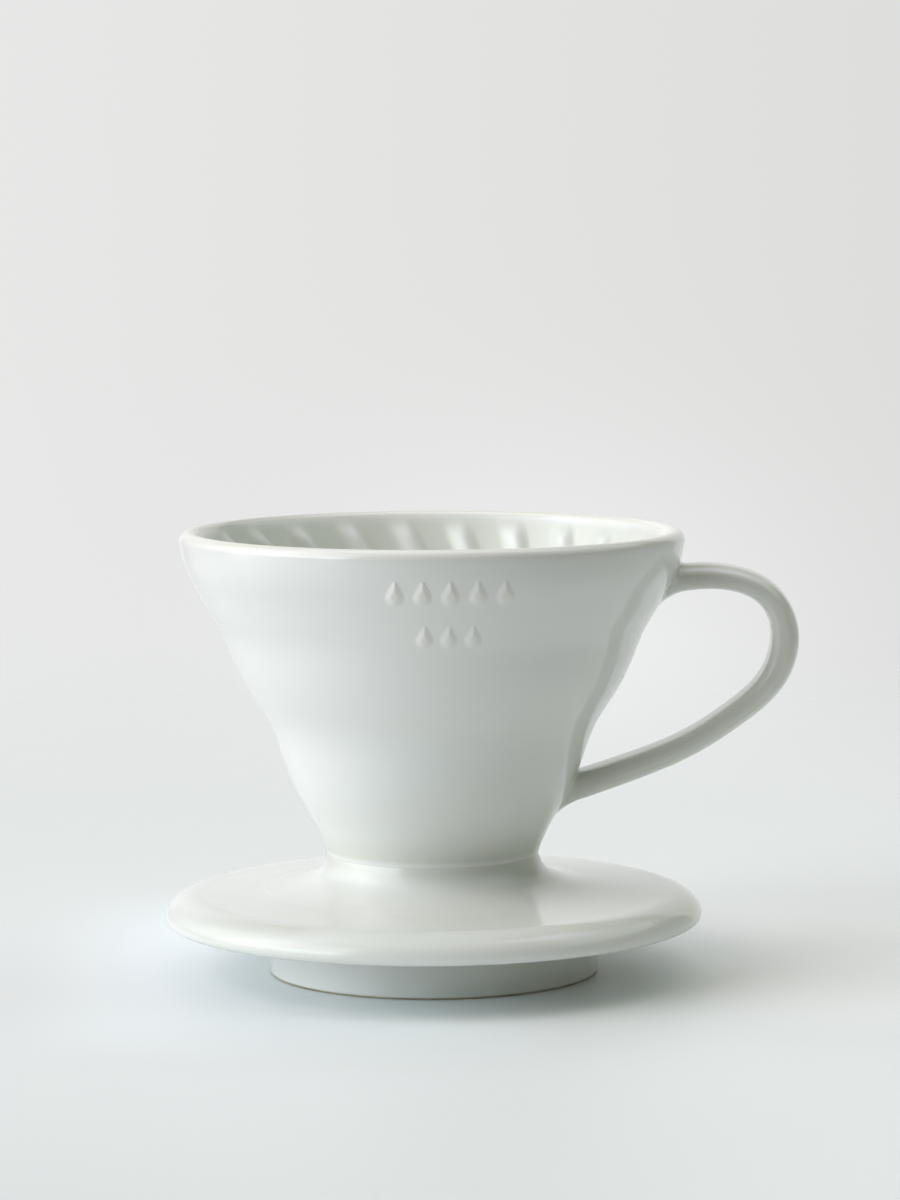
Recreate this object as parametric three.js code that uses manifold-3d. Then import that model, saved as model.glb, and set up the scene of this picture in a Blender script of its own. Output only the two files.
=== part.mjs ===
// A one-cup pour over coffee dripper in glazed porcelain: a 60 degree filter cone with spiral ribs,
// a flared saucer that sits on a cup, a foot ring that centres it in the cup's mouth, and a strap
// handle. The four pieces are cast apart and joined with slip before firing. Millimetres, +Z up,
// the table at z = 0, the handle towards +X.
import * as THREE from "three";
import { mergeVertices } from "three/addons/utils/BufferGeometryUtils.js";
import Module from "manifold-3d";

// ---- driving dimensions ----
const JOINT_GAP = 0.3; // the layer of slip between two pieces

const RIM = { radius: 46.6, z: 80.66, lip: 1.84 }; // the widest point of the cone and the lip's roundness
const NECK = { radius: 19.5, z: 22 }; // where the cone meets the saucer's collar
const FILTER_HALF_ANGLE = THREE.MathUtils.degToRad(30); // half of the 60 degree paper filter
const OUTLET_RADIUS = 9;
const SPOUT = { radius: 12.7, bottom: 13, lip: 1.4 };
// Radius and height of the soft rings that casting leaves in the outer wall, from neck to rim.
const WALL_RINGS = [
  [NECK.radius, NECK.z],
  [25.05, 33.5],
  [30.4, 47],
  [35.85, 56],
  [39.05, 64],
  [43.25, 71.5],
  [RIM.radius, RIM.z],
];

const RIBS = 24; // every second rib stops half way down
const RIB = { height: 1.3, halfWidth: 1.25, spiral: 0.88, phase: THREE.MathUtils.degToRad(8.8) };
const RIB_TOP = { start: 81, full: 75.5 };
const RIB_END = { long: 25, short: 50, fade: 2.5 };

const SAUCER = { radius: 50, widestZ: 11, edgeWidth: 6.8, edgeHeight: 4.2, underside: 9.7 };
const SAUCER_SLOPE = THREE.MathUtils.degToRad(4); // how much the top falls towards the edge
const COLLAR = { bore: 13, fillet: 4.6 };

const FOOT = { outer: 30.3, inner: 26.3, corner: 0.5 };
const SEAT_CLEARANCE = 0.5; // from the foot ring out to the flat seat for a cup's rim

const HANDLE = { width: 11.2, squareness: 2.7, sections: 44, sides: 20 };
const HANDLE_ROOT = { length: 4, swell: 0.25 }; // how far and how much the ends flare where they join
// The handle's centre line from the upper root to the lower: distance from the axis, height and
// the strap's thickness there.
const HANDLE_LINE = [
  [41, 72.6, 5.4],
  [48, 73.6, 4.9],
  [55, 73.4, 4.7],
  [60.8, 71.2, 4.7],
  [64.4, 66.8, 5.0],
  [65.4, 61.6, 5.3],
  [62.8, 54.2, 5.0],
  [56.3, 48.1, 4.7],
  [48, 42.7, 4.7],
  [38, 38.4, 4.9],
  [20, 32.4, 5.4],
];

const CONE_COLUMNS_PER_RIB = 4;
const ROUND_SEGMENTS = 72;

// ---- helpers ----
const wasm = await Module();
wasm.setup();

const point = (r, z) => new THREE.Vector2(r, z);

// Points of an elliptic arc from one angle to another, in degrees, going the shorter way round.
function arc(r, z, a, b, from, to, steps) {
  const [start, end] = [from, to].map(THREE.MathUtils.degToRad);
  return new THREE.EllipseCurve(r, z, a, b, start, end, to < from).getPoints(steps);
}

function spline(points, steps) {
  return new THREE.SplineCurve(points.map(([r, z]) => point(r, z))).getPoints(steps);
}

// Turns a profile that closes on itself about the Z axis.
function revolve(profile, segments) {
  const closed = [...profile, profile[0].clone()];
  return new THREE.LatheGeometry(closed, segments).rotateX(Math.PI / 2);
}

function toSolid(geometry) {
  const bare = geometry.clone().deleteAttribute("normal").deleteAttribute("uv");
  const merged = mergeVertices(bare, 1e-3);
  const corners = [];
  for (let i = 0; i < merged.index.count; i += 3) {
    const [a, b, c] = [0, 1, 2].map((k) => merged.index.getX(i + k));
    if (a !== b && b !== c && c !== a) corners.push(a, b, c);
  }
  return new wasm.Manifold(
    new wasm.Mesh({
      numProp: 3,
      vertProperties: merged.attributes.position.array,
      triVerts: new Uint32Array(corners),
    }),
  );
}

function toGeometry(solid) {
  const { vertProperties, triVerts } = solid.getMesh();
  const geometry = new THREE.BufferGeometry();
  geometry.setAttribute("position", new THREE.BufferAttribute(vertProperties, 3));
  geometry.setIndex(new THREE.BufferAttribute(triVerts, 1));
  geometry.computeVertexNormals();
  return geometry;
}

// ---- filter cone ----
const LIP_END = 180 - THREE.MathUtils.radToDeg(FILTER_HALF_ANGLE); // the lip runs on into the inner wall

function coneProfile() {
  const wall = spline(WALL_RINGS, 14);
  const lip = arc(RIM.radius - RIM.lip, RIM.z, RIM.lip, RIM.lip, 0, LIP_END, 6);
  const top = lip.at(-1);
  const apexZ = top.y - top.x / Math.tan(FILTER_HALF_ANGLE);
  const outletZ = apexZ + OUTLET_RADIUS / Math.tan(FILTER_HALF_ANGLE);
  const inner = new THREE.LineCurve(top, point(OUTLET_RADIUS, outletZ)).getPoints(14);
  const middle = (OUTLET_RADIUS + SPOUT.radius) / 2;
  const noseZ = SPOUT.bottom + SPOUT.lip;
  const nose = arc(middle, noseZ, SPOUT.radius - middle, SPOUT.lip, -180, 0, 6);
  const profile = [...wall, ...lip.slice(1), ...inner.slice(1), ...nose, point(SPOUT.radius, NECK.z)];
  const firstInner = wall.length + lip.length - 1;
  return { profile, firstInner, lastInner: firstInner + inner.length - 2, topRadius: top.x };
}

// Height of a rib above the inner wall at a height z.
function ribHeight(z, isShort) {
  const end = isShort ? RIB_END.short : RIB_END.long;
  const start = 1 - THREE.MathUtils.smoothstep(z, RIB_TOP.full, RIB_TOP.start);
  return RIB.height * start * THREE.MathUtils.smoothstep(z, end - RIB_END.fade, end + RIB_END.fade);
}

// Lathes the cone, then turns each of its rings by the ribs' spiral. On the inner wall one column in
// every four is a rib's crest, its neighbours are the feet of the rib's flanks, and one stays in the
// middle of the valley.
function coneGeometry() {
  const { profile, firstInner, lastInner, topRadius } = coneProfile();
  const geometry = revolve(profile, RIBS * CONE_COLUMNS_PER_RIB);
  const position = geometry.attributes.position;
  const rings = profile.length + 1;
  const pitch = (2 * Math.PI) / RIBS;
  for (let index = 0; index < position.count; index++) {
    const ring = index % rings;
    const column = Math.floor(index / rings) + 1;
    const rib = Math.floor(column / CONE_COLUMNS_PER_RIB);
    const place = (column % CONE_COLUMNS_PER_RIB) - 1; // -1 and 1 flank feet, 0 crest, 2 valley
    const { x: r, y: z } = profile[ring % profile.length];
    const isInner = ring >= firstInner && ring <= lastInner;
    const foot = Math.min(RIB.halfWidth / r, pitch / 2.4);
    const spread = isInner && place !== 2 ? foot : pitch / CONE_COLUMNS_PER_RIB;
    const angle = rib * pitch + place * spread - RIB.spiral * Math.log(topRadius / r);
    const radius = isInner && place === 0 ? r - ribHeight(z, rib % 2 === 1) : r;
    position.setXYZ(index, radius * Math.sin(angle), -radius * Math.cos(angle), z);
  }
  return geometry.rotateZ(Math.PI / 2 + RIB.phase);
}

// ---- saucer ----
function saucerProfile() {
  const slope = THREE.MathUtils.radToDeg(SAUCER_SLOPE);
  const collarTop = NECK.z - JOINT_GAP;
  const filletZ = collarTop - JOINT_GAP;
  const edge = { r: SAUCER.radius - SAUCER.edgeWidth, under: SAUCER.widestZ - SAUCER.underside };
  return [
    point(COLLAR.bore, collarTop),
    point(COLLAR.bore, 17.2),
    point(19, 13.6),
    point(FOOT.inner - 2, SAUCER.underside + 1.9),
    point(FOOT.inner - 0.3, SAUCER.underside),
    point(FOOT.outer + SEAT_CLEARANCE, SAUCER.underside),
    ...arc(SAUCER.radius - 1.6, SAUCER.widestZ, 1.6, edge.under, -90, 0, 3),
    ...arc(edge.r, SAUCER.widestZ, SAUCER.edgeWidth, SAUCER.edgeHeight, 0, 84, 8).slice(1),
    ...arc(NECK.radius + COLLAR.fillet, filletZ, COLLAR.fillet, COLLAR.fillet, 270 - slope, 180, 7),
    point(NECK.radius, collarTop),
  ];
}

// ---- foot ring ----
function footProfile() {
  const top = SAUCER.underside - JOINT_GAP;
  const c = FOOT.corner;
  return [
    ...arc(FOOT.outer - c, c, c, c, -90, 0, 2),
    point(FOOT.outer, top),
    point(FOOT.inner, top),
    ...arc(FOOT.inner + c, c, c, c, 180, 270, 2),
  ];
}

// ---- handle ----
const signedPower = (value, power) => Math.sign(value) * Math.abs(value) ** power;

// A strap of rounded oblong section swept along the centre line. Its ends run into the cone.
function handleSweep() {
  const line = new THREE.CatmullRomCurve3(HANDLE_LINE.map(([r, z]) => new THREE.Vector3(r, 0, z)));
  const thickness = new THREE.SplineCurve(HANDLE_LINE.map(([r, , t]) => new THREE.Vector2(r, t)));
  const length = line.getLength();
  const { sections, sides, squareness } = HANDLE;
  const corners = [];
  for (let i = 0; i <= sections; i++) {
    const u = i / sections;
    const centre = line.getPointAt(u);
    const along = line.getTangentAt(u);
    const outward = new THREE.Vector3(-along.z, 0, along.x);
    const fromEnd = Math.min(u, 1 - u) * length - HANDLE_ROOT.length;
    const depth = thickness.getPoint(line.getUtoTmapping(u)).y;
    const swell = 1 + HANDLE_ROOT.swell * (1 - THREE.MathUtils.smoothstep(fromEnd, 0, HANDLE_ROOT.length));
    for (let k = 0; k < sides; k++) {
      const angle = (2 * Math.PI * k) / sides;
      const across = signedPower(Math.cos(angle), 2 / squareness) * (HANDLE.width / 2) * swell;
      const through = signedPower(Math.sin(angle), 2 / squareness) * (depth / 2) * swell;
      const corner = centre.clone().addScaledVector(outward, through);
      corners.push(corner.x, corner.y + across, corner.z);
    }
  }
  const faces = [];
  for (let i = 0; i < sections; i++)
    for (let k = 0; k < sides; k++) {
      const [a, b] = [i * sides + k, i * sides + ((k + 1) % sides)];
      faces.push(a, b, a + sides, b, b + sides, a + sides);
    }
  for (let k = 1; k < sides - 1; k++) {
    const last = sections * sides;
    faces.push(0, k + 1, k, last, last + k, last + k + 1);
  }
  const geometry = new THREE.BufferGeometry();
  geometry.setAttribute("position", new THREE.Float32BufferAttribute(corners, 3));
  return geometry.setIndex(faces);
}

// The space that the cone fills, its hollow included, grown by the layer of slip.
function coneSpace() {
  const wall = spline(WALL_RINGS, 14).map(({ x, y }) => point(x + JOINT_GAP, y));
  const profile = [point(0, NECK.z), ...wall, point(0, RIM.z)];
  return new THREE.LatheGeometry(profile, RIBS * CONE_COLUMNS_PER_RIB).rotateX(Math.PI / 2);
}

function handleGeometry() {
  return toGeometry(toSolid(handleSweep()).subtract(toSolid(coneSpace())));
}

// ---- assembly ----
const glaze = (color) => new THREE.MeshStandardMaterial({ color, roughness: 0.12, metalness: 0 });

function piece(name, geometry, color) {
  const mesh = new THREE.Mesh(geometry, glaze(color));
  mesh.name = name;
  return mesh;
}

const dripper = new THREE.Group();
dripper.add(
  piece("filter_cone", coneGeometry(), 0xe9ebe7),
  piece("saucer", revolve(saucerProfile(), ROUND_SEGMENTS), 0xe8e9e3),
  piece("foot_ring", revolve(footProfile(), ROUND_SEGMENTS), 0xdfe3e0),
  piece("handle", handleGeometry(), 0xe6e8e2),
);

// The origin is the middle of the whole outline on the table, between the saucer and the handle's bend.
const outline = new THREE.Box3().setFromObject(dripper);
dripper.position.set(-(outline.min.x + outline.max.x) / 2, 0, 0);
const part = new THREE.Group();
part.add(dripper);

export default part;
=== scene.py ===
"""A one-cup pour over dripper in white glazed porcelain, on a pale table in soft studio light.

Lengths in the shape code are millimetres, measured from the cone's axis on the table, and are
turned into metres in the shared frame when a mesh is made.
"""

import math

import bmesh
import bpy
import numpy as np
from mathutils import Euler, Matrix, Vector


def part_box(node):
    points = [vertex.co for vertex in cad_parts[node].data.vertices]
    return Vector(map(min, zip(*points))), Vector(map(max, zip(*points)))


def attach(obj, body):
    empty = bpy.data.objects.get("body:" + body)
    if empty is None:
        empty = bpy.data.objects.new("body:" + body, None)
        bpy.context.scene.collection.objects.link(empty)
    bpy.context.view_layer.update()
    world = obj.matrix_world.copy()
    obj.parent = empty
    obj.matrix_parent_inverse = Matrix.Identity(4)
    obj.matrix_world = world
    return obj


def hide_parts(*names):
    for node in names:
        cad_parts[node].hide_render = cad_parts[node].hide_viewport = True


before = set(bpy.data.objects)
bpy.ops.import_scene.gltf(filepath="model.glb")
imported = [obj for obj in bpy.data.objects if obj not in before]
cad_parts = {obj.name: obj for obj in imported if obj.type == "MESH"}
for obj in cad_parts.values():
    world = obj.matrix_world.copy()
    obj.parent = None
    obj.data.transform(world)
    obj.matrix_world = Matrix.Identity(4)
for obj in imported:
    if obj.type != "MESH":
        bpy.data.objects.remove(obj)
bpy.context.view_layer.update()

MM = 0.001

# ---- driving dimensions, from the frame ----
CONE_LOW, CONE_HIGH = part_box("filter_cone")
SAUCER_LOW, SAUCER_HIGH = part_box("saucer")
FOOT_LOW, FOOT_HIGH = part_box("foot_ring")

# How far the glaze stands out from the solids.
CONE_GLAZE, FOOT_GLAZE = 0.2, 0.3

AXIS_X = (SAUCER_LOW.x + SAUCER_HIGH.x) / 2 / MM
RIM_R = (CONE_HIGH.x - CONE_LOW.x) / 2 / MM + CONE_GLAZE
RIM_TOP = CONE_HIGH.z / MM
SPOUT_BOTTOM = CONE_LOW.z / MM
SAUCER_R = (SAUCER_HIGH.x - SAUCER_LOW.x) / 2 / MM
SEAT_Z = SAUCER_LOW.z / MM
FOOT_R = (FOOT_HIGH.x - FOOT_LOW.x) / 2 / MM + FOOT_GLAZE

NECK_R = 19.55
NECK_Z = 22.0
FOOT_WIDTH = 4.0
FOOT_INNER_R = FOOT_R - FOOT_WIDTH


# ---- curves ----
def natural_spline(knots, values, at):
    """Cubic spline through values at knots with free ends, evaluated at the places in at."""
    knots, values, at = (np.asarray(a, float) for a in (knots, values, at))
    step = np.diff(knots)
    count = len(knots)
    matrix = np.eye(count)
    right = np.zeros(count)
    for i in range(1, count - 1):
        matrix[i, i - 1 : i + 2] = step[i - 1], 2 * (step[i - 1] + step[i]), step[i]
        slopes = np.diff(values[i - 1 : i + 2]) / step[i - 1 : i + 1]
        right[i] = 6 * (slopes[1] - slopes[0])
    bend = np.linalg.solve(matrix, right)
    i = np.clip(np.searchsorted(knots, at) - 1, 0, count - 2)
    a, b = knots[i + 1] - at, at - knots[i]
    cubic = (bend[i] * a**3 + bend[i + 1] * b**3) / (6 * step[i])
    line = (values[i] / step[i] - bend[i] * step[i] / 6) * a
    return cubic + line + (values[i + 1] / step[i] - bend[i + 1] * step[i] / 6) * b


def curve_through(points, steps):
    """Points evenly along a smooth plane curve through the given points."""
    points = np.asarray(points, float)
    along = np.r_[0, np.cumsum(np.linalg.norm(np.diff(points, axis=0), axis=1))]
    at = np.linspace(0, along[-1], steps + 1)
    return np.stack([natural_spline(along, points[:, k], at) for k in range(points.shape[1])], axis=1)


def arc(r, z, a, b, start, end, steps):
    """Points along an ellipse's arc about (r, z), a across and b up, between two angles in degrees."""
    t = np.radians(np.linspace(start, end, steps + 1))
    return np.stack([r + a * np.cos(t), z + b * np.sin(t)], axis=1)


def straight(start, end, steps):
    """Points evenly along a line."""
    t = np.linspace(0, 1, steps + 1)[:, None]
    return (1 - t) * np.array(start, float) + t * np.array(end, float)


def smoothstep(x, low, high):
    """Nothing at low and one at high, eased at both; low may be the larger."""
    t = np.clip((x - low) / (high - low), 0, 1)
    return t * t * (3 - 2 * t)


def bell(x, middle, width):
    """A bell curve, one at its middle."""
    return np.exp(-(((x - middle) / width) ** 2))


# ---- the cone's walls ----
LIP = 1.84  # radius of the lip's rounding
RIM_Z = RIM_TOP - LIP
# Height and radius of points up the outer wall, with the soft rings that casting leaves.
WALL_POINTS = [
    (NECK_Z, NECK_R), (23, 19.8), (25, 20.6), (28, 22.05), (33.5, 25.2), (40, 27.85), (47, 30.6),
    (52, 33.75), (56, 35.95), (60, 37.65), (64, 39.3), (68, 41.65), (71.5, 43.5), (76, 45.75),
    (RIM_Z, RIM_R),
]
UNEVENNESS = 0.06  # how far a hand-finished surface departs from true


def wall_radius(z):
    """Radius of the cone's outer wall at a height."""
    heights, radii = zip(*WALL_POINTS)
    return natural_spline(heights, radii, z)


def unevenness(azimuth, z):
    """The slight departure of a hand-finished wall from true, up to UNEVENNESS either way."""
    wave = 0.45 * np.sin(2 * azimuth + 0.7 + z / 31) + 0.3 * np.sin(3 * azimuth - z / 17)
    wave = wave + 0.25 * np.sin(5 * azimuth + z / 9 + 1.9)
    return UNEVENNESS * wave


# ---- meshes ----
def grid_faces(rings, columns, shift=0, closed=True):
    """Quads of a tube of rings. The last ring meets the first one turned by shift columns."""
    ring = np.arange(rings if closed else rings - 1)[:, None]
    column = np.arange(columns)[None, :]
    after = (ring + 1) % rings
    turned = np.where(ring + 1 == rings, shift, 0)
    a = ring * columns + column
    b = ring * columns + (column + 1) % columns
    c = after * columns + (column + 1 + turned) % columns
    d = after * columns + (column + turned) % columns
    return np.stack([a, b, c, d], axis=-1).reshape(-1, 4)


def make_piece(name, vertices, faces, material, attributes=()):
    """A smooth mesh object in the shared frame, from millimetres about the cone's axis."""
    placed = (np.asarray(vertices) + [AXIS_X, 0, 0]) * MM
    mesh = bpy.data.meshes.new(name)
    mesh.from_pydata(placed.tolist(), [], [list(map(int, f)) for f in faces])
    for key, values in dict(attributes).items():
        attribute = mesh.attributes.new(key, "FLOAT", "POINT")
        attribute.data.foreach_set("value", np.asarray(values, np.float32).ravel())
    mesh.materials.append(material)
    mesh.polygons.foreach_set("use_smooth", [True] * len(mesh.polygons))
    mesh.update()
    piece = bpy.data.objects.new(name, mesh)
    bpy.context.scene.collection.objects.link(piece)
    return piece


def turned_surface(profile, columns):
    """Radii and heights of an outline, as columns, and the azimuths it is turned through, as a row."""
    azimuth = np.arange(columns) * 2 * math.pi / columns
    r, z = profile[:, 0][:, None], profile[:, 1][:, None]
    return r, z, azimuth[None, :]


def to_xyz(r, z, azimuth):
    """Points from their radius, height and azimuth, ring by ring."""
    r, z, azimuth = np.broadcast_arrays(r, z, azimuth)
    return np.stack([r * np.cos(azimuth), r * np.sin(azimuth), z], axis=-1).reshape(-1, 3)


# ---- materials ----
class Nodes:
    """A small helper that adds shader nodes to a material or a world and links them."""

    def __init__(self, material):
        self.tree = material.node_tree
        self.tree.nodes.clear()

    def add(self, kind, inputs=(), **settings):
        node = self.tree.nodes.new(kind)
        for key, value in settings.items():
            setattr(node, key, value)
        for key, value in dict(inputs).items():
            if isinstance(value, bpy.types.NodeSocket):
                self.tree.links.new(value, node.inputs[key])
            else:
                node.inputs[key].default_value = value
        return node

    def noise(self, place, scale, detail=2.0, roughness=0.5):
        inputs = {"Vector": place, "Scale": scale, "Detail": detail, "Roughness": roughness}
        return self.add("ShaderNodeTexNoise", inputs).outputs["Fac"]

    def mapped(self, value, low, high, to_low, to_high):
        ends = {"From Min": low, "From Max": high, "To Min": to_low, "To Max": to_high}
        return self.add("ShaderNodeMapRange", {"Value": value, **ends}).outputs["Result"]

    def mixed(self, factor, first, second, blend="MIX"):
        node = self.add("ShaderNodeMix", {"Factor": factor}, data_type="RGBA", blend_type=blend)
        for key, value in (("A", first), ("B", second)):
            socket = next(s for s in node.inputs if s.name == key and s.type == "RGBA")
            if isinstance(value, bpy.types.NodeSocket):
                self.tree.links.new(value, socket)
            else:
                socket.default_value = (*value, 1)
        return next(s for s in node.outputs if s.type == "RGBA")

    def window(self, value, start, full, last, end):
        """One between full and last, easing to nothing at start and end."""
        fall = self.eased(value, last, end, {"To Min": 1.0, "To Max": 0.0})
        return self.math("MULTIPLY", self.eased(value, start, full), fall)

    def eased(self, value, low, high, ends=()):
        """Nothing at low and one at high, or what ends says, eased at both."""
        inputs = {"Value": value, "From Min": low, "From Max": high, **dict(ends)}
        return self.add("ShaderNodeMapRange", inputs, interpolation_type="SMOOTHSTEP").outputs["Result"]

    def patch(self, place, across, along):
        """One inside a soft-edged patch of the X and Y of place, and nothing outside it."""
        return self.math("MULTIPLY", self.window(place["X"], *across), self.window(place["Y"], *along))

    def length(self, vector):
        return self.add("ShaderNodeVectorMath", {0: vector}, operation="LENGTH").outputs["Value"]

    def math(self, operation, first, second):
        return self.add("ShaderNodeMath", {0: first, 1: second}, operation=operation).outputs[0]


GLAZE = (0.79, 0.81, 0.785)
GLAZE_THIN = (0.83, 0.83, 0.80)  # in patches, where it is a little thinner
GLAZE_POOLED_AND_SHADED = (0.68, 0.70, 0.635)  # at full thickness, in folds and hollows; also laid on as painted shade and as a painted warm reflection
GLAZE_EDGE = (0.84, 0.81, 0.73)  # where it has run off an edge
GLAZE_IOR = 1.52
SPECK = (0.30, 0.25, 0.18)
SPECK_CELLS = 62.0  # cells to a metre, each with at most one speck
SPECK_SIZE = 0.026  # of the largest speck, as a share of a cell
SPECK_STRENGTH = 0.55
# Both darkened as painted shade of the dark contact line under the foot.
BARE_PALE_SHADED, BARE_TOASTED_SHADED = (0.47, 0.42, 0.29), (0.31, 0.26, 0.16)


def glaze_material():
    """White porcelain under a clear glaze: greener where it pools, warmer where it runs thin.

    The mesh's pool attribute is 1 where the glaze is thickest, and its pooled colour also paints shade and
    the saucer's warm reflection; it is -1 where the glaze is thinnest, and the mesh's satin is added to
    the roughness.
    """
    material = bpy.data.materials.new("white_glaze")
    material.use_nodes = True
    nodes = Nodes(material)
    place = nodes.add("ShaderNodeTexCoord").outputs["Object"]
    pool = nodes.add("ShaderNodeAttribute", attribute_name="glaze_pool_and_painted_light").outputs["Fac"]
    cloud = nodes.noise(place, 28, 3)
    body = nodes.mixed(nodes.mapped(cloud, 0.35, 0.65, 0, 0.5), GLAZE, GLAZE_THIN)
    body = nodes.mixed(nodes.mapped(pool, 0, 1, 0, 1), body, GLAZE_POOLED_AND_SHADED)
    body = nodes.mixed(nodes.mapped(pool, -1, 0, 1, 0), body, GLAZE_EDGE)
    cells = nodes.add("ShaderNodeTexVoronoi", {"Vector": place, "Scale": SPECK_CELLS, "Randomness": 1.0})
    chance = nodes.add("ShaderNodeSeparateColor", {"Color": cells.outputs["Color"]}).outputs[0]
    size = nodes.mapped(chance, 0.80, 1.0, 0.0, SPECK_SIZE)
    speck = nodes.math("LESS_THAN", cells.outputs["Distance"], size)
    body = nodes.mixed(nodes.math("MULTIPLY", speck, SPECK_STRENGTH), body, SPECK)
    ripple = nodes.noise(place, 95, 2)
    grain = nodes.noise(place, 900, 2)
    height = nodes.math("ADD", ripple, nodes.math("MULTIPLY", grain, 0.02))
    bump = nodes.add("ShaderNodeBump", {"Strength": 0.25, "Distance": 0.0002, "Height": height})
    satin = nodes.add("ShaderNodeAttribute", attribute_name="satin").outputs["Fac"]
    gloss = nodes.math("ADD", nodes.mapped(cloud, 0.3, 0.7, 0.01, 0.03), satin)
    shader = nodes.add("ShaderNodeBsdfPrincipled", {
        "Base Color": body,
        "Roughness": gloss,
        "Normal": bump.outputs["Normal"],
    })
    shader.inputs["IOR"].default_value = GLAZE_IOR
    nodes.add("ShaderNodeOutputMaterial", {"Surface": shader.outputs["BSDF"]})
    return material


def bare_material():
    """Unglazed porcelain, ground flat: matt, granular, toasted in patches by the kiln, and darkened
    overall as painted shade where the foot meets the table.
    """
    material = bpy.data.materials.new("bare_porcelain")
    material.use_nodes = True
    nodes = Nodes(material)
    place = nodes.add("ShaderNodeTexCoord").outputs["Object"]
    toast = nodes.noise(place, 160, 4)
    grain = nodes.noise(place, 2500, 3)
    color = nodes.mixed(nodes.mapped(toast, 0.35, 0.7, 0, 1), BARE_PALE_SHADED, BARE_TOASTED_SHADED)
    bump = nodes.add("ShaderNodeBump", {"Strength": 0.6, "Distance": 0.00015, "Height": grain})
    shader = nodes.add("ShaderNodeBsdfPrincipled", {
        "Base Color": color,
        "Roughness": nodes.mapped(grain, 0.3, 0.7, 0.6, 0.85),
        "Normal": bump.outputs["Normal"],
    })
    nodes.add("ShaderNodeOutputMaterial", {"Surface": shader.outputs["BSDF"]})
    return material


# ---- filter cone ----
RIBS = 24
COLUMNS_PER_RIB = 18
CONE_COLUMNS = RIBS * COLUMNS_PER_RIB
FILTER_HALF_ANGLE = math.radians(30)
OUTLET_R = 9.0
LOWER_ROOT_Z = 37.5  # height of the handle's lower root, round which the glaze pools and painted shade darkens the wall
NECK_EDGE = 0.4  # radius of the rounding at the foot of the wall
SPOUT_R = 12.7
SPOUT_LIP = 1.4
RIB_HEIGHT = 1.3
RIB_HALF_WIDTH = 2.0
RIB_STEEP_SIDE, RIB_GENTLE_SIDE = 0.75, 1.6  # share of the half width on each side of a crest
RIB_PHASE = math.radians(8.8)
RIB_TOP_START, RIB_TOP_FULL = 80.8, 77.8
RIB_END_LONG, RIB_END_SHORT, RIB_END_FADE = 25.0, 50.0, 2.5
TURN_COLUMNS = 94  # how many columns the ribs turn through from the lip to the outlet
INSIDE_SATIN = 0.3
INSIDE_POOL_AND_SHADE, VALLEY_POOL_AND_SHADE = 0.12, 0.7  # on the crests of the ribs, and what the valleys add: pooled glaze, and painted shade that darkens the inside of the cone

MARK_AZIMUTH = math.radians(-85.7)
MARK_HEIGHT = 0.4
MARK_SOFTNESS, MARK_SPREAD = 1.0, 0.45  # how far the rounding reaches into a mark, and out of it
MARK_MARGIN = 1.3
MARK_CUTS = 4
# Height of a row's feet, how many drops, their spacing, foot radius, tip radius, foot to tip.
MARK_ROWS = [(74.1, 5, 4.9, 1.45, 0.3, 2.4), (66.1, 3, 4.3, 1.3, 0.28, 2.1)]


def cone_profile():
    """Outline from the foot of the wall over the lip to the spout, with where the ribbed part lies."""
    wall_z = np.linspace(NECK_Z + NECK_EDGE, RIM_Z, 64)
    wall = np.stack([wall_radius(wall_z), wall_z], axis=1)
    lower_edge = arc(wall[0, 0] - NECK_EDGE, wall[0, 1], NECK_EDGE, NECK_EDGE, -90, 0, 8)
    lip_end = 180 - math.degrees(FILTER_HALF_ANGLE)
    lip = arc(RIM_R - LIP, RIM_Z, LIP, LIP, 0, lip_end, 18)
    top_r, top_z = lip[-1]
    outlet_z = top_z - (top_r - OUTLET_R) / math.tan(FILTER_HALF_ANGLE)
    inner = straight(lip[-1], (OUTLET_R, outlet_z), 70)
    middle = (OUTLET_R + SPOUT_R) / 2
    throat = straight((OUTLET_R, outlet_z), (OUTLET_R, SPOUT_BOTTOM + SPOUT_LIP), 8)
    nose = arc(middle, SPOUT_BOTTOM + SPOUT_LIP, SPOUT_R - middle, SPOUT_LIP, 180, 360, 12)
    spout = straight((SPOUT_R, SPOUT_BOTTOM + SPOUT_LIP), (SPOUT_R, NECK_Z), 4)
    under = straight((SPOUT_R, NECK_Z), lower_edge[0], 3)
    parts = [lower_edge[:-1], wall, lip[1:], inner[1:], throat[1:], nose[1:], spout[1:], under[1:-1]]
    first_inner = len(lower_edge) - 1 + len(wall) + len(lip) - 1
    return np.concatenate(parts), first_inner, first_inner + len(inner) - 1, top_r


def rib_relief(across, r, z, short):
    """Height of a rib over the inner wall, across being the distance from its crest in radians."""
    side = np.where(across < 0, RIB_STEEP_SIDE, RIB_GENTLE_SIDE)
    half_width = np.minimum(RIB_HALF_WIDTH * side / r, math.pi / RIBS / 1.3)
    bump = np.cos(np.clip(np.abs(across) / (1.3 * half_width), 0, 1) * math.pi / 2) ** 2
    end = np.where(short, RIB_END_SHORT, RIB_END_LONG)
    start = 1 - smoothstep(z, RIB_TOP_FULL, RIB_TOP_START)
    return RIB_HEIGHT * bump * start * smoothstep(z, end - RIB_END_FADE, end + RIB_END_FADE)


def drop_distance(across, up, foot, tip, length):
    """Distance outside a drop: a round foot of one radius with a round tip of another above it."""
    across = np.abs(across)
    lean = (foot - tip) / length
    rise = math.sqrt(1 - lean**2)
    along = rise * up - lean * across
    flank = rise * across + lean * up - foot
    round_foot = np.hypot(across, up) - foot
    round_tip = np.hypot(across, up - length) - tip
    return np.where(along < 0, round_foot, np.where(along > rise * length, round_tip, flank))


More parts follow.
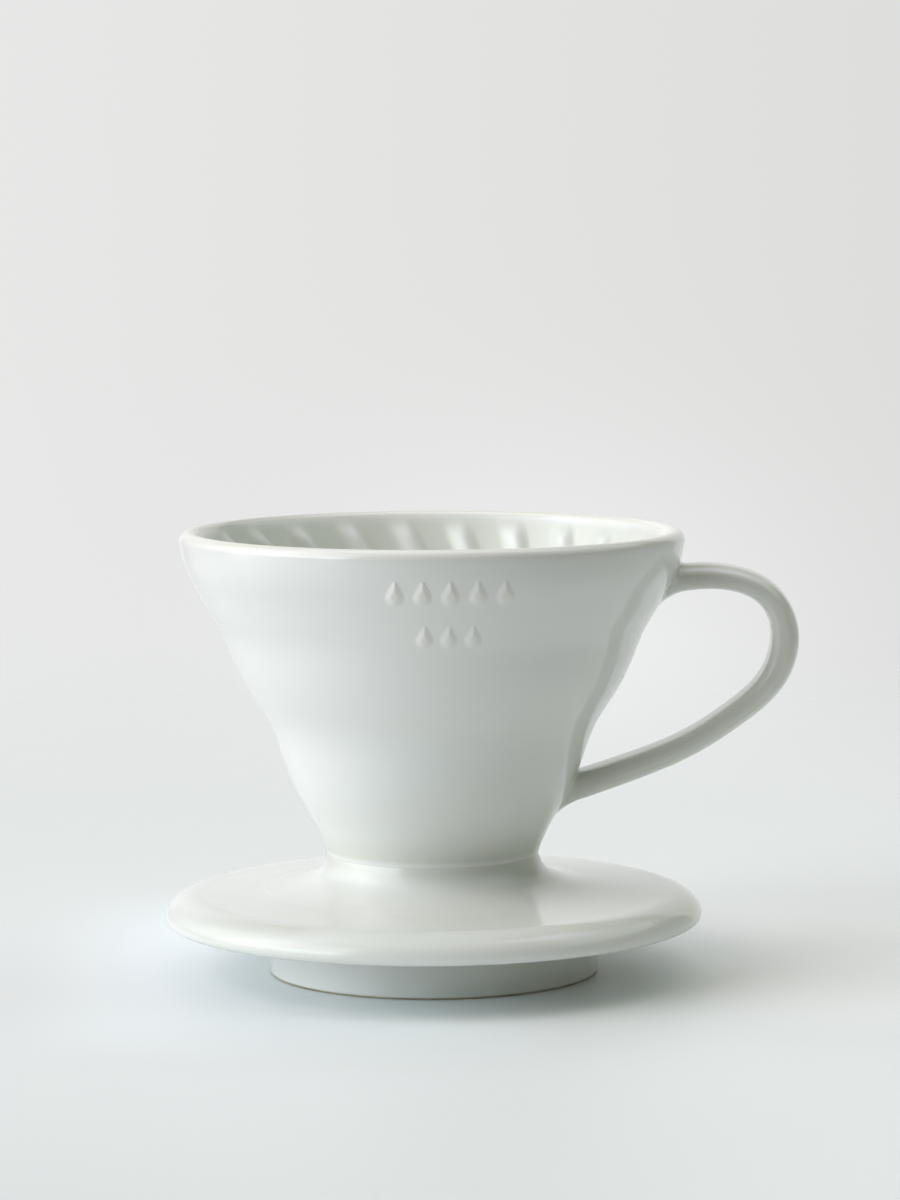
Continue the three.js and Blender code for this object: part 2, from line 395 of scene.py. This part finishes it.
def mark_distance(azimuth, z):
    """Distance outside the nearest of the raised drops on the front of the wall."""
    across = (azimuth - MARK_AZIMUTH) * wall_radius(z)
    nearest = np.full(np.broadcast(azimuth, z).shape, 99.0)
    for foot_z, count, pitch, foot, tip, length in MARK_ROWS:
        for k in range(count):
            offset = across - (k - (count - 1) / 2) * pitch
            nearest = np.minimum(nearest, drop_distance(offset, z - foot_z, foot, tip, length))
    return nearest


def raise_marks(piece):
    """Divide the wall finely around the marks and lift it there into soft drops."""
    mesh = piece.data
    axis = Vector((AXIS_X, 0, 0))
    work = bmesh.new()
    work.from_mesh(mesh)
    work.faces.ensure_lookup_table()
    centres = np.array([face.calc_center_median() for face in work.faces]) / MM - [AXIS_X, 0, 0]
    radius, azimuth = np.hypot(centres[:, 0], centres[:, 1]), np.arctan2(centres[:, 1], centres[:, 0])
    z = centres[:, 2]
    outer = (np.abs(radius - wall_radius(z)) < 0.5) & (z > NECK_Z) & (z < RIM_Z)
    around = np.flatnonzero(outer & (mark_distance(azimuth, z) < MARK_MARGIN))
    edges = {edge for index in around for edge in work.faces[index].edges}
    bmesh.ops.subdivide_edges(work, edges=list(edges), cuts=MARK_CUTS, use_grid_fill=True)
    pool = work.verts.layers.float["glaze_pool_and_painted_light"]
    for vertex in work.verts:
        x, y, z = vertex.co / MM - axis
        if y > -30 or z > RIM_Z - 0.1:
            continue
        azimuth = math.atan2(y, x)
        away = float(mark_distance(azimuth, z))
        if away > MARK_MARGIN or abs(math.hypot(x, y) - wall_radius(z)) > 0.5:
            continue
        lift = MARK_HEIGHT * (1 - smoothstep(away, -MARK_SOFTNESS, MARK_SPREAD))
        radius = float(wall_radius(z) + unevenness(azimuth, z) + lift)
        vertex.co = Vector((AXIS_X + radius * math.cos(azimuth), radius * math.sin(azimuth), z)) * MM
        vertex[pool] -= 0.5 * lift / MARK_HEIGHT
    work.to_mesh(mesh)
    work.free()
    mesh.update()


def filter_cone(material):
    """The ribbed cone with its lip and spout. Its columns turn with the ribs, inside the wall only."""
    profile, first_inner, last_inner, top_r = cone_profile()
    rings = len(profile)
    pitch = 2 * math.pi / CONE_COLUMNS
    r, z = profile[:, 0][:, None], profile[:, 1][:, None]
    ring = np.arange(rings)[:, None]
    full_turn = TURN_COLUMNS * pitch
    turn = full_turn * np.log(top_r / r) / math.log(top_r / OUTLET_R)
    turn = np.where(ring < first_inner, 0, np.where(ring >= last_inner, full_turn, turn))
    column = np.arange(CONE_COLUMNS)[None, :]
    azimuth = column * pitch + RIB_PHASE - turn
    inside = (ring >= first_inner) & (ring < last_inner)
    nearest = np.round(column / COLUMNS_PER_RIB)
    across = (column - nearest * COLUMNS_PER_RIB) * pitch
    relief = np.where(inside, rib_relief(across, r, z, nearest % 2 == 1), 0)
    outside = (ring < first_inner) & (z > NECK_Z + 1e-6)
    radius = r - relief + np.where(outside, unevenness(azimuth, z), 0)
    vertices = to_xyz(radius, z, azimuth)
    valley = np.where(inside, (1 - relief / RIB_HEIGHT) * smoothstep(RIM_TOP - z, 0, 2.5), 0)
    # The glaze pools between the ribs, at the neck and round the handle's lower root, and thins at edges;
    # its pooled colour also paints shade inside the cone and round that root, and the saucer's warm
    # reflection at the neck.
    ribbed = np.where(inside, INSIDE_POOL_AND_SHADE, 0) + VALLEY_POOL_AND_SHADE * valley
    edge = bell(z, RIM_TOP, 1.2)
    # Painted reflection: a band of pooled colour at the foot of the wall stands in for the saucer's warm
    # reflection, turning lighter on the bead.
    neck = (1.1 * bell(z, NECK_Z, 4.5) - 1.5 * bell(z, NECK_Z + 0.25, 0.4)) * (ring < first_inner)
    # Painted shade: the pooled colour darkens the wall round the handle's lower root, where the glaze also
    # pools.
    root = np.hypot(radius * np.sin(azimuth), z - LOWER_ROOT_Z) / 9
    root = np.exp(-(root**4)) * (np.cos(azimuth) > 0) * (ring < first_inner)
    satin = np.where(inside, INSIDE_SATIN, 0) + 0 * azimuth
    attributes = {"glaze_pool_and_painted_light": ribbed - 0.6 * edge + neck + root, "satin": satin}
    faces = grid_faces(rings, CONE_COLUMNS, shift=-TURN_COLUMNS)
    piece = make_piece("cone", vertices, faces, material, attributes)
    raise_marks(piece)
    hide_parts("filter_cone")
    return piece


# ---- saucer ----
SAUCER_COLUMNS = 288
EDGE_Z = 11.0
EDGE_WIDTH, EDGE_HEIGHT, UNDER_WIDTH = 6.2, 4.2, 1.6
BORE_R = 12.6
SAG, SAG_BEARING = 0.35, math.radians(185)  # how far the edge droops, and on which side
# Points of the upper face, from inside the joint with the cone down to the flat of the saucer.
FLARE = [
    (19.3, 22.6), (19.56, 22.0), (19.85, 21.1), (20.5, 19.75), (21.8, 18.4), (24.4, 17.3), (28.0, 16.45),
    (35, 15.7), (43.2, 15.2),
]
WINDOW_SIDE_BEARING = math.radians(-130)  # the side facing the window, where the edge's glaze is satin and painted shade darkens it


def saucer_profile():
    """Closed outline, from the bore along the underside and back over the edge to the collar."""
    edge_r = SAUCER_R - EDGE_WIDTH
    flare = curve_through(FLARE, 70)
    edge = arc(edge_r, EDGE_Z, EDGE_WIDTH, EDGE_HEIGHT, 90, 0, 30)
    under = arc(SAUCER_R - UNDER_WIDTH, EDGE_Z, UNDER_WIDTH, EDGE_Z - SEAT_Z, 0, -90, 8)
    seat = straight((SAUCER_R - UNDER_WIDTH, SEAT_Z), (FOOT_INNER_R + 0.4, SEAT_Z), 24)
    hollow = [(FOOT_INNER_R - 0.2, SEAT_Z + 0.1), (FOOT_INNER_R - 2, 11.6), (19, 13.6), (13.2, 17.2)]
    recess = curve_through(hollow, 24)
    bore = straight((BORE_R, 17.6), (BORE_R, 21.4), 3)
    collar = straight((14, 21.7), (18.2, 21.9), 3)
    joint = straight((18.7, 22.3), (19.0, 22.6), 1)
    return np.concatenate([collar, joint, flare, edge[1:], under[1:], seat[1:], recess, bore])[::-1]


def saucer(material):
    """The round saucer with the flare that takes the cone, its edge drooping a little on one side."""
    profile = saucer_profile()
    r, z, azimuth = turned_surface(profile, SAUCER_COLUMNS)
    top = (z > SEAT_Z + 0.05) & (r > NECK_R)
    sag = SAG * (r / SAUCER_R) ** 4 * (0.5 + 0.5 * np.cos(azimuth - SAG_BEARING))
    height = z - np.where(r > FOOT_R + 1, sag, 0) + 0 * azimuth
    radius = r + np.where(top, (unevenness(azimuth, z) - UNEVENNESS) * (r / SAUCER_R) * 0.5, 0)
    vertices = to_xyz(radius, height, azimuth)
    faces = grid_faces(len(profile), SAUCER_COLUMNS)
    # The glaze pools in the fold at the neck and at the edge. On the window side of the edge the pooled
    # colour is painted shade, dimming the edge where the window lights it.
    fold = bell(z, 21.4, 1.8) * (r > NECK_R - 0.5) * (r < 24)
    edge = bell(r, SAUCER_R, 0.8)
    window_side = np.maximum(np.cos(azimuth - WINDOW_SIDE_BEARING), 0) ** 2
    band = smoothstep(r, SAUCER_R - 9, SAUCER_R - 4)
    pool = 0.9 * fold + 0.1 * edge + 0.6 * band * window_side**2 - 0.12
    satin = 0.2 * (1 - smoothstep(r, 22, 29)) + 0.16 * band * window_side
    piece = make_piece("drip_saucer", vertices, faces, material, {"glaze_pool_and_painted_light": pool, "satin": satin})
    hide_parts("saucer")
    return piece


# ---- foot ring ----
FOOT_COLUMNS = 288
BARE_HEIGHT = 0.24  # how far up the foot the glaze is wiped off
BEAD_R, BEAD_Z = 0.35, BARE_HEIGHT + 0.4  # the rounded bead that the glaze ends in
GROUND_EDGE = 0.3  # radius of the bare part's rounding
BARE_INSET = 0.15  # how far the bare part stands in from the glaze
FOOT_SHADE_BEARING = math.radians(-45)  # the side of the foot darkened as painted shade, facing the front right


def foot_ring(glaze, bare):
    """The ring in two pieces: the glazed part, and the bare edge that it stands on."""
    top = SEAT_Z + 0.6
    glazed = np.concatenate([
        straight((FOOT_R, top), (FOOT_R, BEAD_Z + 0.1), 12),
        arc(FOOT_R - BEAD_R, BEAD_Z, BEAD_R, BEAD_R, 0, -90, 6),
        straight((FOOT_R - 0.8, BARE_HEIGHT), (FOOT_INNER_R + 0.8, BARE_HEIGHT), 4),
        arc(FOOT_INNER_R + BEAD_R, BEAD_Z, BEAD_R, BEAD_R, 270, 180, 6),
        straight((FOOT_INNER_R, BEAD_Z + 0.2), (FOOT_INNER_R, top), 12),
    ])[::-1]
    outer, inner, edge = FOOT_R - BARE_INSET, FOOT_INNER_R + BARE_INSET, GROUND_EDGE
    ground = np.concatenate([
        straight((outer - 0.05, BEAD_Z), (outer, edge), 3),
        arc(outer - edge, edge, edge, edge, 0, -90, 5)[1:],
        straight((outer - 0.45, 0), (inner + 0.45, 0), 8),
        arc(inner + edge, edge, edge, edge, 270, 180, 5),
        straight((inner, edge + 0.1), (inner + 0.05, BEAD_Z), 3),
    ])[::-1]
    made = []
    for name, profile, material in (("foot", glazed, glaze), ("foot_bare_edge", ground, bare)):
        r, z, azimuth = turned_surface(profile, FOOT_COLUMNS)
        # Painted shade: the pooled colour darkens the foot's front-right side, and its top under the
        # saucer, where the glaze also pools.
        lean = np.maximum(np.cos(azimuth - FOOT_SHADE_BEARING), 0) ** 2
        pool = lean + (1 - lean) * bell(z, SEAT_Z - 0.2, 0.9)
        vertices = to_xyz(r + 0 * azimuth, z, azimuth)
        faces = grid_faces(len(profile), FOOT_COLUMNS)
        piece = make_piece(name, vertices, faces, material, {"glaze_pool_and_painted_light": pool})
        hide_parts("foot_ring")
        made.append(piece)
    return made


# ---- handle ----
HANDLE_WIDTH = 11.2
HANDLE_SQUARENESS = (2.1, 3.8)  # of the outer face, which is domed, and of the flatter inner face
HANDLE_SIDES = 72
HANDLE_STEPS = 900  # along the plain strap, before it is cut off at the wall
ROOT_REACH, ROOT_RINGS, SPAN_RINGS = 4.6, 48, 150  # fine rings near the wall, and rings between them
SUNK = 0.03  # how far the root is sunk in the wall
# Distance from the axis, height and thickness along the handle, from the upper root to the lower.
HANDLE_LINE = [
    (41, 72.6, 5.4), (48, 73.6, 4.9), (55, 73.4, 4.7), (60.8, 71.2, 4.7), (64.4, 66.8, 5.0),
    (65.36, 61.6, 5.3), (62.8, 54.2, 5.0), (56.3, 48.1, 4.7), (48, 42.7, 4.7), (38, 38.4, 4.9),
    (20, 32.4, 5.4),
]
# Fillet radii at each root, on the loop's outer face, its sides and its inner face.
UPPER_FILLET = (1.2, 1.3, 3.6)
LOWER_FILLET = (2.8, 1.2, 1.0)


def root_fillet(rings):
    """Radius of the fillet between the strap and the wall, for each ring and side of the strap."""
    facing = np.sin(np.arange(HANDLE_SIDES) * 2 * math.pi / HANDLE_SIDES)
    radii = []
    for outer, side, inner in (UPPER_FILLET, LOWER_FILLET):
        blend = np.where(facing > 0, outer - side, inner - side) * facing**2
        radii.append(side + blend)
    return np.where(np.arange(rings)[:, None] < rings / 2, radii[0], radii[1])


def wall_distance(points):
    """Signed distance from the cone's outer wall, and the wall's outward normal there."""
    radial = np.hypot(points[..., 0], points[..., 1])
    z = points[..., 2]
    slope = (wall_radius(z + 0.05) - wall_radius(z - 0.05)) / 0.1
    length = np.hypot(1, slope)
    azimuth = np.arctan2(points[..., 1], points[..., 0])
    distance = (radial - wall_radius(z) - unevenness(azimuth, z)) / length
    normal = np.stack([np.cos(azimuth), np.sin(azimuth), -slope], axis=-1) / length[..., None]
    return distance, normal


def handle_tube(steps):
    """Rings of the plain strap: the points of its centre line, and each side's offset from them."""
    line = curve_through(HANDLE_LINE, steps)
    centre = np.stack([line[:, 0], np.zeros(len(line)), line[:, 1]], axis=1)
    along = np.gradient(centre, axis=0)
    along /= np.linalg.norm(along, axis=1, keepdims=True)
    outward = np.stack([-along[:, 2], 0 * along[:, 0], along[:, 0]], axis=1)
    angle = np.arange(HANDLE_SIDES) * 2 * math.pi / HANDLE_SIDES
    power = 2 / np.where(np.sin(angle) > 0, *HANDLE_SQUARENESS)
    c = np.sign(np.cos(angle)) * np.abs(np.cos(angle)) ** power
    s = np.sign(np.sin(angle)) * np.abs(np.sin(angle)) ** power
    side = np.array([0, 1, 0])
    offset = c[None, :, None] * side * HANDLE_WIDTH / 2
    offset = offset + s[None, :, None] * outward[:, None, :] * line[:, 2][:, None, None] / 2
    return centre, offset


def handle(material):
    """The strap, cut off at the cone's wall and blended into it by fillets."""
    centre, offset = handle_tube(HANDLE_STEPS)
    points = centre[:, None, :] + offset
    distance, _ = wall_distance(points)
    rings, sides = distance.shape
    quarter = rings // 4
    spacing = (1 - np.cos(np.linspace(0, 1, ROOT_RINGS) * math.pi / 2)) * ROOT_REACH
    columns = []
    for k in range(sides):
        out = np.flatnonzero(distance[:, k] > 0)
        first, last = out[0], out[-1]
        near_start = np.interp(spacing, distance[first - 1 : quarter, k], np.arange(first - 1, quarter))
        tail = np.arange(last + 1, rings * 3 // 4, -1)
        near_end = np.interp(spacing, distance[tail, k], tail)
        middle = np.linspace(near_start[-1], near_end[-1], SPAN_RINGS)[1:-1]
        columns.append(np.concatenate([near_start, middle, near_end[::-1]]))
    at = np.stack(columns, axis=1)
    low = np.floor(at).astype(int).clip(0, rings - 2)
    share = (at - low)[..., None]
    k = np.arange(sides)[None, :]
    place = points[low, k] * (1 - share) + points[low + 1, k] * share
    outward = offset[low, k] / np.linalg.norm(offset[low, k], axis=-1, keepdims=True)
    gap, normal = wall_distance(place)
    fillet = root_fillet(len(place))
    reach = np.clip(fillet - gap, 0, fillet)
    swell = fillet - np.sqrt(np.maximum(fillet**2 - reach**2, 0))
    tangent = outward - normal * np.sum(outward * normal, axis=-1, keepdims=True)
    tangent /= np.linalg.norm(tangent, axis=-1, keepdims=True)
    place = place + tangent * swell[..., None]
    for _ in range(3):
        now, normal = wall_distance(place)
        near = smoothstep(-gap / fillet, -1.2, -0.9)
        place = place + normal * ((gap - SUNK - now) * near)[..., None]
    count = len(place)
    vertices = place.reshape(-1, 3)
    faces = grid_faces(count, sides, closed=False)
    caps = [list(range(sides))[::-1], list(range((count - 1) * sides, count * sides))]
    # Painted shade: the pooled colour darkens the whole strap, more toward its lower part and at the
    # roots, where the glaze also pools.
    pool = 0.4 + 0.3 * smoothstep(place[..., 2], 70, 52) + 0.4 * bell(gap, 0, 0.9)
    piece = make_piece("strap_handle", vertices, list(faces) + caps, material, {"glaze_pool_and_painted_light": pool})
    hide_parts("handle")
    return piece


# ---- stage, in metres ----
TABLE_R = 3.0
TABLE_FADE = (0.12, 0.6)  # distances at which the table starts and ends its fade into the backdrop
TABLE = (0.795, 0.82, 0.815)
TABLE_PAINTED_COOL_LIGHT = (0.88, 0.935, 0.965)  # painted cool light, lifting the shadow to the left of the object
TABLE_PAINTED_FRONT_SHADE = (0.665, 0.685, 0.685)  # painted shade, in front, on the left
TABLE_PAINTED_LEE_LIGHT = (0.95, 0.96, 0.945)  # painted light, lifting the cast shadow to the right of the object
FLAT_MARGIN = 0.7  # millimetres by which the flat under the foot is narrower than the foot


def under_foot(nodes, place):
    """One under the flat of the foot, where the table lets light through to it, and nothing elsewhere."""
    from_axis = nodes.add("ShaderNodeVectorMath", {0: place, 1: (AXIS_X * MM, 0, 0)}, operation="SUBTRACT")
    radius = nodes.length(from_axis.outputs[0])
    outside = nodes.math("GREATER_THAN", radius, (FOOT_INNER_R + FLAT_MARGIN) * MM)
    inside = nodes.math("LESS_THAN", radius, (FOOT_R - FLAT_MARGIN) * MM)
    return nodes.math("MULTIPLY", outside, inside)


def studio_floor():
    """A wide pale table top whose far edge melts into the backdrop."""
    bpy.ops.mesh.primitive_circle_add(vertices=128, radius=TABLE_R, fill_type="NGON")
    floor = bpy.context.object
    floor.name = "table_top"
    material = bpy.data.materials.new("pale_table")
    material.use_nodes = True
    nodes = Nodes(material)
    place = nodes.add("ShaderNodeTexCoord").outputs["Object"]
    parts = nodes.add("ShaderNodeSeparateXYZ", {"Vector": place}).outputs
    # Painted light: a cool, lighter patch lifts the shadow to the left of the object.
    painted_cool_light = nodes.patch(parts, (-0.09, -0.055, -0.015, 0.022), (-0.09, -0.045, 0.04, 0.1))
    # Painted shade: a darker patch on the table in front, on the left.
    front = nodes.patch(parts, (-9, -8, -0.12, 0.04), (-9, -8, -0.3, -0.09))
    # Painted light: a lighter patch lifts the object's cast shadow to its right.
    painted_lee_light = nodes.patch(parts, (0.03, 0.06, 0.09, 0.14), (-0.07, -0.02, 0.03, 0.09))
    color = nodes.mixed(painted_cool_light, TABLE, TABLE_PAINTED_COOL_LIGHT)
    color = nodes.mixed(front, color, TABLE_PAINTED_FRONT_SHADE)
    color = nodes.mixed(painted_lee_light, color, TABLE_PAINTED_LEE_LIGHT)
    shader = nodes.add("ShaderNodeBsdfPrincipled", {"Base Color": color, "Roughness": 0.45})
    clear = nodes.add("ShaderNodeBsdfTransparent")
    away = nodes.length(place)
    below = nodes.add("ShaderNodeNewGeometry").outputs["Backfacing"]
    fade = nodes.math("MAXIMUM", nodes.eased(away, *TABLE_FADE), below)
    fade = nodes.math("MAXIMUM", fade, under_foot(nodes, place))
    blend = nodes.add("ShaderNodeMixShader", {0: fade, 1: shader.outputs[0], 2: clear.outputs[0]})
    nodes.add("ShaderNodeOutputMaterial", {"Surface": blend.outputs[0]})
    floor.data.materials.append(material)


ROOM = (0.003, 0.003, 0.003)  # light from everywhere
# Bearings and heights, in degrees, at which a light starts, is full, is still full, and ends.
LEFT_FRONT, LEFT, LEFT_BACK = (-146, -136, -112, -96), (-112, -96, -84, -70), (-84, -70, -58, -42)
BACK, RIGHT = (-30, -12, 33, 37), (33, 37, 100, 130)
LOW, MIDDLE, HIGH = (-60, -20, 4, 12), (4, 12, 22, 32), (22, 32, 48, 62)
WALL, CEILING, OVERHEAD = (-60, -20, 26, 34), (28, 36, 50, 65), (48, 65, 91, 92)
# Color, strength, bearing and height of each light.
STUDIO_LIGHTS = [
    ((1.05, 0.92, 0.95), 0.9, LEFT_FRONT, LOW),  # the room below the window on the left
    ((1.05, 0.92, 1.05), 1.5, LEFT, LOW),
    ((0.90, 1.03, 1.07), 4.9, LEFT_FRONT, MIDDLE),  # the window's lower half
    ((1.00, 1.00, 1.00), 4.0, LEFT, MIDDLE),
    ((1.06, 1.00, 0.96), 1.0, LEFT_BACK, MIDDLE),
    ((1.03, 0.98, 1.00), 2.6, LEFT_FRONT, HIGH),  # the window's upper half
    ((0.99, 0.99, 1.02), 3.75, LEFT, HIGH),
    ((1.00, 1.02, 0.99), 1.3, LEFT_BACK, HIGH),
    ((1.05, 1.00, 0.98), 0.3, (-52, -40, -30, -12), WALL),  # where the window meets the white wall
    ((1.00, 1.00, 0.99), 0.83, BACK, WALL),  # the white wall behind
    ((1.15, 1.05, 0.70), 0.3, (-48, -20, 33, 37), CEILING),  # and the ceiling over it
    ((0.97, 1.00, 1.04), 0.44, RIGHT, (-60, -20, 10, 16)),  # the dim room on the right
    ((1.00, 1.20, 0.70), 0.14, RIGHT, (10, 16, 28, 40)),  # its darkest band
    ((0.90, 1.08, 1.00), 1.02, RIGHT, CEILING),  # and the ceiling over it
    ((1.10, 1.00, 0.60), 0.07, (100, 130, 180.5, 181), (-60, -20, 25, 45)),  # the dark front room
    ((0.95, 0.97, 1.12), 1.75, (-100, -80, 80, 100), OVERHEAD),
    ((1.25, 1.05, 0.50), 0.45, (80, 100, 180.5, 181), OVERHEAD),
    ((1.15, 0.98, 0.85), 0.52, (-181, -180.5, -100, -80), OVERHEAD),
]
# The wall that the camera sees, on its left and right, and how its lower part differs; its lighter left
# side is painted light.
SEEN_LEFT, SEEN_RIGHT, SEEN_LOWER = (0.87, 0.87, 0.87), (0.665, 0.665, 0.65), (1.0, 1.015, 1.02)
GLOW, GLOW_X, GLOW_Z = (0.11, 0.117, 0.12), (0.026, 0.04), (-0.12, 0.036)  # a painted halo of light round the object: its colour, and its middle and spread


def backdrop():
    """The studio round the object, as light from each bearing and height.

    A bearing runs clockwise from straight behind the object: 90 is its right, -90 its left.
    """
    world = bpy.data.worlds.new("studio")
    bpy.context.scene.world = world
    world.use_nodes = True
    nodes = Nodes(world)
    direction = nodes.add("ShaderNodeTexCoord").outputs["Generated"]
    parts = nodes.add("ShaderNodeSeparateXYZ", {"Vector": direction}).outputs
    bearing = nodes.math("DEGREES", nodes.math("ARCTAN2", parts["X"], parts["Y"]), 0)
    height = nodes.math("DEGREES", nodes.math("ARCSINE", parts["Z"], 0), 0)
    total = nodes.add("ShaderNodeRGB").outputs[0]
    total.default_value = (*ROOM, 1)
    for color, strength, bearings, heights in STUDIO_LIGHTS:
        share = nodes.math("MULTIPLY", nodes.window(bearing, *bearings), nodes.window(height, *heights))
        tinted = nodes.mixed(share, (0, 0, 0), tuple(c * strength for c in color))
        total = nodes.mixed(1.0, total, tinted, "ADD")
    light = nodes.add("ShaderNodeBackground", {"Color": total, "Strength": 1.0})
    wall = nodes.mixed(nodes.mapped(parts["X"], -0.3, 0.3, 0, 1), SEEN_LEFT, SEEN_RIGHT)
    wall = nodes.mixed(nodes.mapped(parts["Z"], -0.04, -0.16, 0, 1), wall, SEEN_LOWER, "MULTIPLY")
    # A painted halo of light round the object, added to the wall.
    spreads = []
    for part, (middle, spread) in ((parts["X"], GLOW_X), (parts["Z"], GLOW_Z)):
        away = nodes.math("DIVIDE", nodes.math("SUBTRACT", part, middle), spread)
        spreads.append(nodes.math("MULTIPLY", away, away))
    glow = nodes.math("EXPONENT", nodes.math("MULTIPLY", nodes.math("ADD", *spreads), -0.5), 0)
    wall = nodes.mixed(1.0, wall, nodes.mixed(glow, (0, 0, 0), GLOW), "ADD")
    seen = nodes.add("ShaderNodeBackground", {"Color": wall, "Strength": 1.0})
    camera_ray = nodes.add("ShaderNodeLightPath").outputs["Is Camera Ray"]
    blend = nodes.add("ShaderNodeMixShader", {0: camera_ray, 1: light.outputs[0], 2: seen.outputs[0]})
    nodes.add("ShaderNodeOutputWorld", {"Surface": blend.outputs[0]})


CAMERA_LENS = 127.15
CAMERA_X, CAMERA_Y, CAMERA_Z = 3.285, -781.65, 146.04
CAMERA_DOWN, CAMERA_ROLL = 5.608, -0.237  # degrees


def camera():
    """A long lens a little above the rim, looking slightly down."""
    data = bpy.data.cameras.new("camera")
    data.lens = CAMERA_LENS
    data.sensor_width = 36
    data.clip_start = 0.05
    view = bpy.data.objects.new("camera", data)
    view.location = Vector((AXIS_X + CAMERA_X, CAMERA_Y, CAMERA_Z)) * MM
    look = Euler((math.radians(90 - CAMERA_DOWN), 0, 0)).to_matrix()
    roll = Euler((0, 0, math.radians(CAMERA_ROLL))).to_matrix()
    view.rotation_euler = (look @ roll).to_euler()
    bpy.context.scene.collection.objects.link(view)
    bpy.context.scene.camera = view


def main():
    camera()
    glaze, bare = glaze_material(), bare_material()
    pieces = [(make(glaze), "white_glaze") for make in (filter_cone, saucer, handle)]
    foot, edge = foot_ring(glaze, bare)
    pieces += [(foot, "white_glaze"), (edge, "bare_porcelain")]
    for piece, slot in pieces:
        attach(piece, "root")
    studio_floor()
    backdrop()
    bpy.context.scene.view_settings.view_transform = "Standard"


main()
